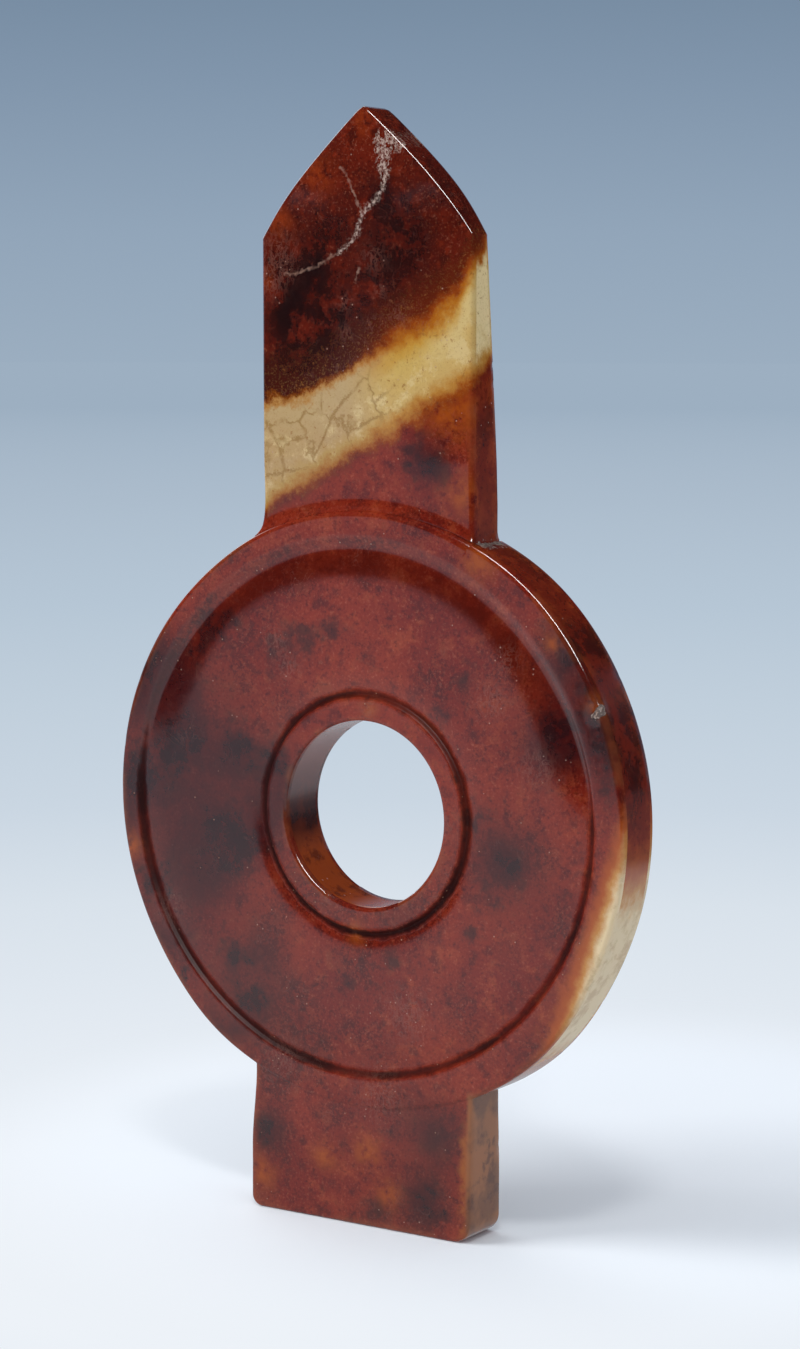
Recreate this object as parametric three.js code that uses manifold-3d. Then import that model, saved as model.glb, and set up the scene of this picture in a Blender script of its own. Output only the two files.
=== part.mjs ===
// A jade gui tablet with a bi disc, sawn, ground and drilled from one slab of stone.
// A pointed gui blade rises from the top of the disc and thins towards its shoulders.
// A plain rectangular foot stands below the disc.
// The disc is the thickest of the three and stands proud of the blade and the foot on both faces.
// Millimetres, +Z up, front face towards -Y, origin at the middle of the foot's flat underside.
import * as THREE from 'three';
import { mergeVertices } from 'three/addons/utils/BufferGeometryUtils.js';
import Module from 'manifold-3d';

const wasm = await Module();
wasm.setup();

// Driving dimensions
const tabletHeight = 241;
const discDiameter = 130;
const discThickness = 13.2;
const discCentreHeight = 90.8;
const boreDiameter = 40.5;
const bladeThickness = 10.4;
const footThickness = 12.8;

// The disc's outer edge and its raised rim band
const discArrisRadius = 0.9;
const rimWidth = 5.8;

// The relief's smooth step down from the rim and from the collar, on both faces
const reliefStepDepth = 0.9;
const rimStepRun = 1.3;
const collarStepRun = 0.9;

// The sunken field, crowned to fall away softly towards both steps, and its hand-cut centre's small error
const fieldCrown = 0.5;
const rimSlopeRun = 11;
const collarSlopeRun = 6;
const fieldOffCentreX = -1;
const fieldOffCentreZ = 0.8;

// The raised collar band round the drilled hole, which is a little off the disc's centre too
const collarWidth = 4.9;
const boreArrisRadius = 0.6;
const boreOffCentreX = 1;
const boreOffCentreZ = -0.4;

// The blade, a little narrower at its shoulders than at its root, with bowed slants up to a blunted point
const bladeRootWidth = 54.4;
const bladeShoulderWidth = 52.8;
const slantHeight = 27;
const slantBow = 1.2;
const shoulderRounding = 2.2;
const pointWidth = 2.4;
const pointCrown = 0.5;
const bladeArrisRadius = 0.6;
const rootFilletReach = 2.2;

// The blade's faces, flat at the root, fall away to thin edges at the shoulders beside a soft middle ridge
const shoulderEdgeThickness = 6.6;
const pointThickness = 9.6;
const thinningHeight = 50;
const ridgeSoftness = 1.4;
const faceMeshLength = 5;

// The foot that stands in a socket or on a table
const footWidth = 56.8;
const footLeftCornerRadius = 2.6;
const footRightCornerRadius = 4.2;
const footArrisRadius = 0.7;

// How far a cutter runs past the surface that it cuts, and how far a joined form sinks in
const overrun = 1;

// Facets round a full turn, and steps along one arris, one slope, one outline curve and half a foot corner
const discFacets = 84;
const boreFacets = 56;
const arrisSteps = 3;
const slopeSteps = 4;
const outlineSteps = 8;
const cornerSteps = 3;

// Sizes that follow from those above
const discRadius = discDiameter / 2;
const discHalf = discThickness / 2;
const boreRadius = boreDiameter / 2;
const collarRadius = boreRadius + collarWidth;
const fieldRadius = discRadius - rimWidth;
const stepFootHalf = discHalf - reliefStepDepth;
const fieldHalf = stepFootHalf + fieldCrown;
const seatRadius = discRadius - rimWidth / 2;
const bladeHalf = bladeThickness / 2;
const shoulderHeight = tabletHeight - slantHeight;
const rootFilletHeight = Math.max(discHalf - discArrisRadius - bladeHalf, 0);

// Turns a closed geometry into a solid, with its shared corners merged
function toSolid(geometry) {
  geometry.deleteAttribute('normal');
  geometry.deleteAttribute('uv');
  const merged = mergeVertices(geometry);
  const mesh = new wasm.Mesh({
    numProp: 3,
    vertProperties: new Float32Array(merged.attributes.position.array),
    triVerts: new Uint32Array(merged.index.array),
  });
  return new wasm.Manifold(mesh);
}

// Turns a finished solid back into a geometry with flat facets
function toGeometry(solid) {
  const mesh = solid.getMesh();
  const geometry = new THREE.BufferGeometry();
  geometry.setAttribute('position', new THREE.BufferAttribute(mesh.vertProperties, 3));
  geometry.setIndex(new THREE.BufferAttribute(mesh.triVerts, 1));
  const faceted = geometry.toNonIndexed();
  faceted.computeVertexNormals();
  return faceted;
}

// Revolves a closed profile of (radius, depth) points about the disc's axis, moved off centre if asked
function revolved(profile, facets, offCentreX = 0, offCentreZ = 0) {
  const geometry = new THREE.LatheGeometry(profile, facets);
  geometry.translate(offCentreX, 0, discCentreHeight + offCentreZ);
  return toSolid(geometry);
}

// Gives the whole profile, from the back to the front, of a form whose front half is given
function bothHalves(frontHalf) {
  const backHalf = frontHalf.map((point) => new THREE.Vector2(point.x, -point.y)).reverse();
  return [...backHalf, ...frontHalf];
}

// A quarter turn of an ellipse in a profile, from one turn about its centre to the next
function quarterTurn(centreX, centreY, radiusX, radiusY, quarter, clockwise = false) {
  const start = (quarter * Math.PI) / 2;
  const end = start + (clockwise ? -Math.PI : Math.PI) / 2;
  const arc = new THREE.EllipseCurve(centreX, centreY, radiusX, radiusY, start, end, clockwise);
  return arc.getPoints(arrisSteps);
}

// The relief's line from the field's middle: a parabola down to the step's foot, then a smooth step up
function reliefLine(middleEnd, slopeEnd, stepEnd) {
  const points = [];
  for (let step = 0; step < slopeSteps; step += 1) {
    const share = step / slopeSteps;
    const radius = middleEnd + (slopeEnd - middleEnd) * share;
    points.push(new THREE.Vector2(radius, fieldHalf - fieldCrown * share ** 2));
  }
  for (let step = 0; step <= slopeSteps; step += 1) {
    const share = step / slopeSteps;
    const ease = (1 - Math.cos(Math.PI * share)) / 2;
    const radius = slopeEnd + (stepEnd - slopeEnd) * share;
    points.push(new THREE.Vector2(radius, stepFootHalf + reliefStepDepth * ease));
  }
  return points;
}

// The round blank, a plain drum with its two outer arrises softened
function discBlank() {
  const arris = quarterTurn(
    discRadius - discArrisRadius,
    discHalf - discArrisRadius,
    discArrisRadius,
    discArrisRadius,
    0,
  );
  return revolved(bothHalves([...arris, new THREE.Vector2(0, discHalf)]), discFacets);
}

// What is ground away from the front of the blank to sink the field inside the rim
function frontFieldCutter() {
  const slopeEnd = fieldRadius - rimStepRun;
  const line = reliefLine(slopeEnd - rimSlopeRun, slopeEnd, fieldRadius);
  const profile = [
    new THREE.Vector2(0, fieldHalf),
    ...line,
    new THREE.Vector2(fieldRadius, discHalf + overrun),
    new THREE.Vector2(0, discHalf + overrun),
  ];
  return revolved(profile, discFacets, fieldOffCentreX, fieldOffCentreZ);
}

// The collar: a ring through the disc that stands up from the field on both faces
function collar() {
  const frontHalf = [
    new THREE.Vector2(collarRadius + collarStepRun, discHalf),
    new THREE.Vector2(boreRadius - overrun, discHalf),
  ];
  const profile = bothHalves(frontHalf);
  return revolved([...profile, profile[0]], boreFacets, boreOffCentreX, boreOffCentreZ);
}

// What is ground away from the front round the collar: its step, and the fall of the field to the step's foot
function frontCollarCutter() {
  const slopeEnd = collarRadius + collarStepRun;
  const middleEnd = slopeEnd + collarSlopeRun;
  const profile = [
    ...reliefLine(middleEnd, slopeEnd, collarRadius).reverse(),
    new THREE.Vector2(middleEnd, discHalf + overrun),
    new THREE.Vector2(collarRadius, discHalf + overrun),
  ];
  return revolved([...profile, profile[0]], boreFacets, boreOffCentreX, boreOffCentreZ);
}

// The drill's way through the collar, with its two mouths softened
function boreCutter() {
  const mouth = quarterTurn(
    boreRadius + boreArrisRadius,
    discHalf - boreArrisRadius,
    boreArrisRadius,
    boreArrisRadius,
    2,
    true,
  );
  const frontHalf = [
    ...mouth,
    new THREE.Vector2(boreRadius + boreArrisRadius, discHalf + overrun),
    new THREE.Vector2(0, discHalf + overrun),
  ];
  return revolved(bothHalves(frontHalf), boreFacets, boreOffCentreX, boreOffCentreZ);
}

// Extrudes an outline drawn in X and Z to a thickness centred on Y, with rounded arrises all round
function slab(shape, thickness, arrisRadius) {
  const geometry = new THREE.ExtrudeGeometry(shape, {
    depth: thickness - 2 * arrisRadius,
    curveSegments: cornerSteps,
    bevelThickness: arrisRadius,
    bevelSize: arrisRadius,
    bevelOffset: -arrisRadius,
    bevelSegments: arrisSteps,
  });
  geometry.translate(0, 0, arrisRadius - thickness / 2);
  geometry.rotateX(Math.PI / 2);
  return toSolid(geometry);
}

// A point along the right-hand slant, bowed outwards between the shoulder and the blunted point
function slantPoint(share) {
  const run = (bladeShoulderWidth - pointWidth) / 2;
  const rise = slantHeight - pointCrown;
  const length = Math.hypot(run, rise);
  const bow = slantBow * Math.sin(Math.PI * share);
  return new THREE.Vector2(
    bladeShoulderWidth / 2 - run * share + (bow * rise) / length,
    shoulderHeight + rise * share + (bow * run) / length,
  );
}

// The right half of the blade's outline, from its root in the disc's rim to the middle of its point
function bladeRightHalf() {
  const rootAngle = Math.acos(bladeRootWidth / 2 / seatRadius);
  const seat = new THREE.EllipseCurve(
    0,
    discCentreHeight,
    seatRadius,
    seatRadius,
    Math.PI / 2,
    rootAngle,
    true,
  );
  const points = seat.getPoints(outlineSteps);
  const root = points[outlineSteps];
  const shoulder = slantPoint(0);
  const side = shoulder.clone().sub(root);
  const belowShoulder = shoulder.clone().addScaledVector(side, -shoulderRounding / side.length());
  const roundingShare = shoulderRounding / Math.hypot(bladeShoulderWidth / 2, slantHeight);
  const corner = new THREE.QuadraticBezierCurve(belowShoulder, shoulder, slantPoint(roundingShare));
  points.push(...corner.getPoints(arrisSteps));
  for (let step = 1; step <= outlineSteps; step += 1) {
    points.push(slantPoint(roundingShare + ((1 - roundingShare) * step) / outlineSteps));
  }
  points.push(new THREE.Vector2(0, tabletHeight));
  return points;
}

// The blade's thickness at a place on its face, as a share of its thickness at the root
function thicknessShare(x, z) {
  const { clamp, lerp } = THREE.MathUtils;
  const towardsShoulder = clamp((z - shoulderHeight) / thinningHeight + 1, 0, 1);
  const towardsPoint = clamp((z - shoulderHeight) / slantHeight, 0, 1);
  const sideEdge = lerp(bladeThickness, shoulderEdgeThickness, towardsShoulder);
  const edge = lerp(sideEdge, pointThickness, towardsPoint);
  const middle = lerp(bladeThickness, pointThickness, towardsShoulder);
  const halfWidth = lerp(bladeShoulderWidth, pointWidth, towardsPoint) / 2;
  const across = clamp(Math.abs(x) / halfWidth, 0, 1);
  return lerp(middle, edge, across ** ridgeSoftness) / bladeThickness;
}

// The blade: one tapering slab with a bowed point, thinned towards its shoulders on both faces
function blade() {
  const rightHalf = bladeRightHalf();
  const leftHalf = rightHalf.slice(1, -1).map((point) => new THREE.Vector2(-point.x, point.y)).reverse();
  return slab(new THREE.Shape([...rightHalf, ...leftHalf]), bladeThickness, bladeArrisRadius)
    .refineToLength(faceMeshLength)
    .warp((corner) => {
      corner[1] *= thicknessShare(corner[0], corner[2]);
    });
}

// The foot: a plain slab with rounded lower corners, whose hidden top end follows the disc's rim
function foot() {
  const sideX = footWidth / 2;
  const left = footLeftCornerRadius;
  const right = footRightCornerRadius;
  const seatAngle = Math.acos(sideX / seatRadius);
  const shape = new THREE.Shape();
  shape.moveTo(-sideX, left);
  shape.absarc(-sideX + left, left, left, -Math.PI, -Math.PI / 2);
  shape.absarc(sideX - right, right, right, -Math.PI / 2, 0);
  shape.absarc(0, discCentreHeight, seatRadius, -seatAngle, seatAngle - Math.PI, true);
  return slab(shape, footThickness, footArrisRadius);
}

// The small concave fillet, at the front, where the blade's face runs into the disc's outer wall
function frontRootFillet() {
  const top = bladeHalf + rootFilletHeight;
  const sweep = quarterTurn(discRadius + rootFilletReach, top, rootFilletReach, rootFilletHeight, 3, true);
  const profile = [
    new THREE.Vector2(discRadius - overrun, bladeHalf - overrun),
    new THREE.Vector2(discRadius + rootFilletReach, bladeHalf - overrun),
    ...sweep,
    new THREE.Vector2(discRadius - overrun, top),
    new THREE.Vector2(discRadius - overrun, bladeHalf - overrun),
  ];
  const width = bladeRootWidth - 2 * bladeArrisRadius;
  const height = shoulderHeight - discCentreHeight;
  const bounds = new THREE.BoxGeometry(width, discThickness, height);
  bounds.translate(0, 0, discCentreHeight + height / 2);
  return revolved(profile, discFacets).intersect(toSolid(bounds));
}

// The same form at the other face, turned half round the tablet's upright axis
function turnedToOtherFace(solid) {
  return solid.rotate([0, 0, 180]);
}

// The whole tablet, with both faces carved alike, and the steps of the collar centred on the one bore
function tablet() {
  const field = frontFieldCutter();
  const step = frontCollarCutter();
  const fillet = frontRootFillet();
  return discBlank()
    .subtract(field)
    .subtract(turnedToOtherFace(field))
    .add(collar())
    .subtract(step)
    .subtract(step.mirror([0, 1, 0]))
    .subtract(boreCutter())
    .add(blade())
    .add(foot())
    .add(fillet)
    .add(turnedToOtherFace(fillet));
}

const jade = new THREE.MeshStandardMaterial({ color: '#6e2f26', roughness: 0.25, metalness: 0 });
const jadeTablet = new THREE.Mesh(toGeometry(tablet()), jade);
jadeTablet.name = 'jade_tablet';

const model = new THREE.Group();
model.add(jadeTablet);

export default model;
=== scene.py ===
# %% [markdown]
# # A jade gui tablet
# The real object is one slab of russet nephrite, sawn, drilled, ground and polished by hand.
# A pointed blade rises from a disc with a raised rim and collar, and a plain foot carries it.
# This lesson builds its visible surface as one fine mesh, carves the disc's relief with
# Geometry Nodes, and paints the stone with a procedural material in the object's own space.

# %% The frame that the tablet has to fit
import math
from functools import partial

import bpy
import numpy as np
from mathutils import Matrix, Vector


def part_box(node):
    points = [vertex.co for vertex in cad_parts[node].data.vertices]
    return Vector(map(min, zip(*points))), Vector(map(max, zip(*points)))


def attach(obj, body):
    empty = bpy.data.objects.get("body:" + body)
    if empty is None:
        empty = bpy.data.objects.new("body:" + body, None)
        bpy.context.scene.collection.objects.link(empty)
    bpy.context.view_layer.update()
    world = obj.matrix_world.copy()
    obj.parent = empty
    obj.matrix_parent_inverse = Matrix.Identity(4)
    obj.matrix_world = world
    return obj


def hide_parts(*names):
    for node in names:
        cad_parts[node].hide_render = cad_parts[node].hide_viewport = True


MM = 0.001
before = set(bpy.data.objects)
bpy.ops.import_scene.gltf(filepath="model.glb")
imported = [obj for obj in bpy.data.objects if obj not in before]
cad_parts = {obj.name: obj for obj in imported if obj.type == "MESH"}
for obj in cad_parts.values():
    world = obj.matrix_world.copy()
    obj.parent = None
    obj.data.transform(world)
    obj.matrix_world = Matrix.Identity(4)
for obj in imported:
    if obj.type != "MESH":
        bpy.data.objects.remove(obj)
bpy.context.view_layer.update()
box_low, box_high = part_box("jade_tablet")
TABLET_HEIGHT = box_high.z / MM
DISC_RADIUS = box_high.x / MM
DISC_HALF = box_high.y / MM
print("the solid's size in mm:", [round(side / MM, 1) for side in box_high - box_low])

# %% [markdown]
# ## The camera
# The tablet is seen from its front right and a little from above, with a long lens.
# A camera can be placed by hand, or worked out from the ellipses that the disc and the bore make.
# Here its angles, distance and lens come from such a fit, and the disc's centre is put at its
# own pixel of the 800 x 1349 picture by turning the camera, so no lens shift is needed.

# %% What the fit gave, in pixels, degrees and millimetres
PICTURE_WIDTH = 800
PICTURE_HEIGHT = 1349
CAMERA_YAW = 33.513
CAMERA_PITCH = 8.522
CAMERA_ROLL = 0.051
CAMERA_DISTANCE = 662.8
FOCAL_PIXELS = 3055.5
DISC_CENTRE_PIXEL = (375.68, 808.97)
DISC_Z = 90.8
SENSOR_LONG_SIDE = 36.0

# %% A camera that looks at the disc's centre, then turns until that centre has its own pixel
yaw, pitch, roll = (math.radians(a) for a in (CAMERA_YAW, CAMERA_PITCH, CAMERA_ROLL))
away = Vector((math.sin(yaw) * math.cos(pitch), -math.cos(yaw) * math.cos(pitch), math.sin(pitch)))
level = (-away).to_track_quat("-Z", "Y").to_matrix()
across = (DISC_CENTRE_PIXEL[0] - PICTURE_WIDTH / 2) / FOCAL_PIXELS
upwards = (PICTURE_HEIGHT / 2 - DISC_CENTRE_PIXEL[1]) / FOCAL_PIXELS
sideways = Matrix.Rotation(math.atan(across), 3, "Y")
downwards = Matrix.Rotation(-math.atan(upwards), 3, "X")
turned = level @ sideways @ downwards @ Matrix.Rotation(roll, 3, "Z")
place = (Vector((0, 0, DISC_Z)) + away * CAMERA_DISTANCE) * MM
camera = bpy.data.objects.new("camera", bpy.data.cameras.new("camera"))
camera.matrix_world = Matrix.Translation(place) @ turned.to_4x4()
camera.data.sensor_width = SENSOR_LONG_SIDE
camera.data.lens = FOCAL_PIXELS * SENSOR_LONG_SIDE / PICTURE_HEIGHT
camera.data.clip_start = 0.01
camera.data.clip_end = 200
bpy.context.scene.collection.objects.link(camera)
bpy.context.scene.camera = camera
print("lens in mm:", round(camera.data.lens, 1), "at", [round(c, 3) for c in camera.location])

# %% [markdown]
# ## Sizes of the carved slab
# All sizes below are in millimetres. They repeat the solid's own sizes, and add the small errors
# of handwork that the solid leaves out: the blade leans, the disc isn't quite round, and the step
# at the rim runs wider near the top.

# %% Sizes of the disc
ROUND_RADIUS = DISC_RADIUS - 0.15
OUT_OF_ROUND = (
    (-50, 1.1, 15), (50, 0.45, 17), (128, -0.35, 16), (205, -0.35, 20), (232, 0.4, 10), (-66, 0.3, 9)
)
DISC_THINNER = 0.1
DISC_TAPER = 0.3
DISC_ARRIS = 0.9
ARRIS_WEAR = 1.4
ARRIS_WEAR_ANGLE = 50
ARRIS_WEAR_SPREAD = 20
BORE_RADIUS = 20.25
BORE_ARRIS = 0.85
BORE_CENTRE = (1.0, -0.4)
FIELD_CENTRE = (-1.0, 0.8)
COLLAR_RADIUS = BORE_RADIUS + 4.9
COLLAR_STEP_RUN = 0.9
COLLAR_STEP_DEPTH = 1.05
COLLAR_SLOPE_RUN = 6.0
FIELD_RADIUS = DISC_RADIUS - 5.8
RIM_STEP_RUN = 1.05
RIM_STEP_WIDENING = 2.0
RIM_STEP_DEPTH = 0.95
RIM_SLOPE_RUN = 8.5
FIELD_DEPTH = 0.35

# %% Sizes of the blade
BLADE_HALF_WIDTH = 26.75
SHOULDER_SPREAD = 0.25
BLADE_HALF = 5.2
POINT_HALF = 4.8
SHOULDER_THINNING = 1.85
THINNING_START = 166
THINNING_END = 213
THINNING_FADE_END = 226
THINNING_FADE = 0.55
RIDGE_SOFTNESS = 5.0
ROOT_OFF_CENTRE = 1.0
SHOULDER_OFF_CENTRE = -0.4
LEAN_START = 157
LEAN_END = 214
LEFT_FLARE = 2.2
FLARE_REACH = 2.6
APEX_X = 0.25
APEX_ABOVE = 0.4
SLANT_SLOPE = 0.88
POINT_SOFTNESS = 0.8
SHOULDER_FALL_LEFT = 3.0
SHOULDER_FALL_RIGHT = 4.9
FORWARD_LEAN = 1.0
BLADE_ARRIS = 0.9
ROOT_FILLET_REACH = 2.2

# %% Sizes of the foot
FOOT_LEFT = -28.0
FOOT_LEFT_SPREAD = 0.75
FOOT_RIGHT = 28.2
FOOT_HALF = 6.45
FOOT_NECK_THINNER = 0.55
FOOT_NECK_START = 14
FOOT_NECK_END = 31
FOOT_LEFT_CORNER = 2.6
FOOT_RIGHT_CORNER = 4.2
FOOT_ARRIS = 0.7
print("blade", 2 * BLADE_HALF_WIDTH, "mm wide, foot", FOOT_RIGHT - FOOT_LEFT, "mm wide")

# %% [markdown]
# ## A blank of quads
# A boolean of three solids would leave long thin triangles that shade badly on polished stone.
# So the surface is laid out as a grid instead: rings round the bore and the disc, columns that
# spring from the disc's edge up the blade and down the foot, and strips round the sides. Rows lie
# close together wherever an arris turns, and the front and the back share the outline.

# %% Places along a length, closer together at its ends
JOINT_STEPS = np.array([0, 0.1, 0.22, 0.36, 0.55, 0.8, 1.2, 1.8])
RIM_JOINT_STEPS = np.array([0, 0.2, 0.5, 1.0])
COLUMN_STEP = 1.1
RIM_STEP = 1.0


def graded(length, ends, count):
    """Places along a length: close together near both ends, with a count of even steps between."""
    middle = np.linspace(ends[-1], length - ends[-1], count + 1)[1:-1]
    return np.concatenate([ends, middle, length - ends[::-1]])


def ramp(value, start, end):
    """0 up to start, 1 from end on, and a smooth curve between."""
    share = np.clip((value - start) / (end - start), 0, 1)
    return share * share * (3 - 2 * share)


# %% Outline rules: the disc's edge, and the sides and the top of the blade
# the angles, near enough, at which the sides of the blade and the foot meet the disc
SIDE_ANGLES = (65, 116, 244, -64)


def disc_edge(angle):
    """The disc's outer radius at an angle in degrees, with its swells and flats: angle, height, spread."""
    radius = ROUND_RADIUS
    for centre, height, spread in OUT_OF_ROUND:
        away = (angle - centre + 180) % 360 - 180
        radius = radius + height * np.exp(-((away / spread) ** 2))
    return radius


def disc_arris(angle):
    """Radius of the disc's rounded front and back arrises, worn wider at the upper right."""
    return DISC_ARRIS + ARRIS_WEAR * np.exp(-(((angle - ARRIS_WEAR_ANGLE) / ARRIS_WEAR_SPREAD) ** 2))


def up_blade(z):
    """The share of the way from the blade's root to its shoulders."""
    return np.clip((z - LEAN_START) / (LEAN_END - LEAN_START), 0, 1)


def forward_lean(z):
    """How far the blade leans towards the front over z, up to its point."""
    return FORWARD_LEAN * np.clip((z - LEAN_START) / (TABLET_HEIGHT - LEAN_START), 0, 1)


def blade_middle(z):
    """X of the blade's middle line, which leans a little to the left."""
    return ROOT_OFF_CENTRE + (SHOULDER_OFF_CENTRE - ROOT_OFF_CENTRE) * up_blade(z)


left_root_x = ROOT_OFF_CENTRE - BLADE_HALF_WIDTH - LEFT_FLARE
LEFT_ROOT_HEIGHT = DISC_Z + math.sqrt(disc_edge(SIDE_ANGLES[1]) ** 2 - left_root_x**2)


def blade_left(z):
    """X of the blade's left side, which flares out at its root."""
    flare = LEFT_FLARE * np.exp(-(z - LEFT_ROOT_HEIGHT) / FLARE_REACH)
    return blade_middle(z) - BLADE_HALF_WIDTH - SHOULDER_SPREAD * up_blade(z) - flare


def blade_right(z):
    """X of the blade's right side."""
    return blade_middle(z) + BLADE_HALF_WIDTH + SHOULDER_SPREAD * up_blade(z)


def blade_top(x):
    """Height of the slants over x: straight from the blunted point, then steeper to the shoulders."""
    off = x - APEX_X
    fall = np.where(off < 0, SHOULDER_FALL_LEFT, SHOULDER_FALL_RIGHT) * (off / BLADE_HALF_WIDTH) ** 4
    return TABLET_HEIGHT + APEX_ABOVE - SLANT_SLOPE * np.hypot(off, POINT_SOFTNESS) - fall


def foot_left(z):
    """X of the foot's left side, which spreads a little towards the bottom."""
    return FOOT_LEFT - FOOT_LEFT_SPREAD * ramp(-z, -FOOT_NECK_END, -FOOT_NECK_START)


def foot_corners(x):
    """For both lower corners: the radius, and how far x is from that side of the foot."""
    return (FOOT_LEFT_CORNER, x - foot_left(0)), (FOOT_RIGHT_CORNER, FOOT_RIGHT - x)


def foot_bottom(x):
    """Height of the foot's underside over x: flat, with the two rounded lower corners."""
    height = 0
    for radius, off in foot_corners(x):
        height = height + radius - np.sqrt(radius**2 - np.clip(radius - off, 0, radius) ** 2)
    return height


# %% Rays round the disc, counted from its right side, with the blade's and the foot's own spans
side_x = (ROOT_OFF_CENTRE + BLADE_HALF_WIDTH, left_root_x, FOOT_LEFT, FOOT_RIGHT)
turns = [math.degrees(math.acos(x / disc_edge(angle))) for x, angle in zip(side_x, SIDE_ANGLES)]
span_ends = [turns[0], turns[1], 360 - turns[2], 360 - turns[3], 360 + turns[0]]
MM_PER_DEGREE = math.radians(ROUND_RADIUS)
rays = []
span_starts = []
for number, (start, end) in enumerate(zip(span_ends, span_ends[1:])):
    ends, step = ((JOINT_STEPS, COLUMN_STEP), (RIM_JOINT_STEPS, RIM_STEP))[number % 2]
    span_starts.append(len(rays))
    length = (end - start) * MM_PER_DEGREE
    count = round((length - 2 * ends[-1]) / step)
    rays.extend(start + graded(length, ends, count)[:-1] / MM_PER_DEGREE)
rays = np.array(rays)
RAY_ACROSS, RAY_UP = np.cos(np.radians(rays)), np.sin(np.radians(rays))
RAY_EDGE = disc_edge(rays)
RAY_ARRIS = disc_arris(rays)
blade_rays = np.arange(span_starts[0], span_starts[1] + 1)
left_rim_rays = np.arange(span_starts[1], span_starts[2] + 1)
foot_rays = np.arange(span_starts[2], span_starts[3] + 1)
right_rim_rays = np.append(np.arange(span_starts[3], len(rays)), 0)
print(len(rays), "rays round the disc,", len(blade_rays), "of them under the blade")

# %% Rings of one face of the disc, from the bore's arris out to the rim's
ARRIS_TURNS = np.radians([0, 18, 36, 54, 72, 90])
COLLAR_OFFSETS = (
    1.1, 2.0, 3.1, 4.1, 4.6, 4.8, 4.95, 5.1, 5.25, 5.4, 5.55, 5.7, 5.85, 6.1, 6.6, 7.3, 8.1, 9, 10, 11
)
RIM_OFFSETS = (
    12.4, 11.4, 10.4, 9.4, 8.4, 7.4, 6.4, 5.4, 4.4, 3.4, 2.5, 1.9, 1.5, 1.3, 1.1, 0.9, 0.7, 0.5, 0.3, 0.1,
    -0.2,
)
FIELD_SHARES = np.linspace(0, 1, 12)[1:-1]
BAND_SHARES = (0.25, 0.5, 0.75, 0.9)


def disc_rings(side):
    """X, Z and the drop below the face, for every ring of the front (side -1) or the back (side 1)."""
    field = (-side * FIELD_CENTRE[0], FIELD_CENTRE[1])

    def circle(centre, radius):
        return np.stack([centre[0] + radius * RAY_ACROSS, centre[1] + radius * RAY_UP], 1)

    rings = [
        (circle(BORE_CENTRE, BORE_RADIUS + BORE_ARRIS * (1 - math.cos(t))), BORE_ARRIS * (1 - math.sin(t)))
        for t in ARRIS_TURNS
    ]
    rings += [(circle(BORE_CENTRE, BORE_RADIUS + offset), 0) for offset in COLLAR_OFFSETS]
    rim = [(circle(field, FIELD_RADIUS - offset), 0) for offset in RIM_OFFSETS]
    outer = [
        (circle((0, 0), RAY_EDGE - RAY_ARRIS * (1 - math.sin(t))), RAY_ARRIS * (1 - math.cos(t)))
        for t in ARRIS_TURNS
    ]
    inner_ring, rim_start, rim_end, arris_start = rings[-1][0], rim[0][0], rim[-1][0], outer[0][0]
    rings += [(inner_ring + (rim_start - inner_ring) * share, 0) for share in FIELD_SHARES]
    rings += rim
    rings += [(rim_end + (arris_start - rim_end) * share, 0) for share in BAND_SHARES]
    rings += outer
    places = np.stack([ring for ring, drop in rings])
    drops = np.stack([drop + np.zeros(len(rays)) for ring, drop in rings])
    return places + np.array([0, DISC_Z]), drops


# %% Columns up the blade and down the foot, each with the same count of rows
BLADE_ROWS = 62
FOOT_ROWS = 22
SLANT_STRETCH = 1.45


def blade_columns(foot_of_column):
    """X and Z of the blade's rows, starting on the disc's outermost ring."""
    x, z = foot_of_column.T
    share = (x - blade_left(z)) / (blade_right(z) - blade_left(z))
    share[0], share[-1] = 1, 0
    high = LEAN_END + BLADE_HALF_WIDTH
    top_x = blade_left(high) + share * (blade_right(high) - blade_left(high))
    top = blade_top(top_x)
    steps = JOINT_STEPS * SLANT_STRETCH
    places = np.stack([graded(t - b, steps, BLADE_ROWS) + b for t, b in zip(top, z)], 1)
    across = blade_left(places) + share * (blade_right(places) - blade_left(places))
    across[0] = x
    return np.stack([across, places], 2)


def foot_columns(head_of_column):
    """X and Z of the foot's rows, going down from the disc's outermost ring."""
    x, z = head_of_column.T
    share = (x - FOOT_LEFT) / (FOOT_RIGHT - FOOT_LEFT)
    share[0], share[-1] = 0, 1
    bottom_x = foot_left(0) + share * (FOOT_RIGHT - foot_left(0))
    bottom = foot_bottom(bottom_x)
    places = np.stack([t - graded(t - b, JOINT_STEPS, FOOT_ROWS) for t, b in zip(z, bottom)], 1)
    across = foot_left(places) + share * (FOOT_RIGHT - foot_left(places))
    across[0] = x
    return np.stack([across, places], 2)


# %% Half-thickness rules, before the relief is carved
def arris_drop(distance, radius):
    """How far a rounded arris falls below its face, at a distance from the outline."""
    share = 1 - np.clip(distance / radius, 0, 1)
    return radius * (1 - np.sqrt(1 - share**2))


def disc_half(z):
    """The disc's half-thickness, a little more at the top than at the bottom."""
    return DISC_HALF - DISC_THINNER + DISC_TAPER * (z - DISC_Z) / ROUND_RADIUS


def from_blade_edge(x, z):
    """Distance in mm from the blade's sides and slants."""
    slant = np.hypot(1, SLANT_SLOPE)
    sides = np.minimum(x - blade_left(z), blade_right(z) - x)
    return np.clip(np.minimum(sides, (blade_top(x) - z) / slant), 0, None)


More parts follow.
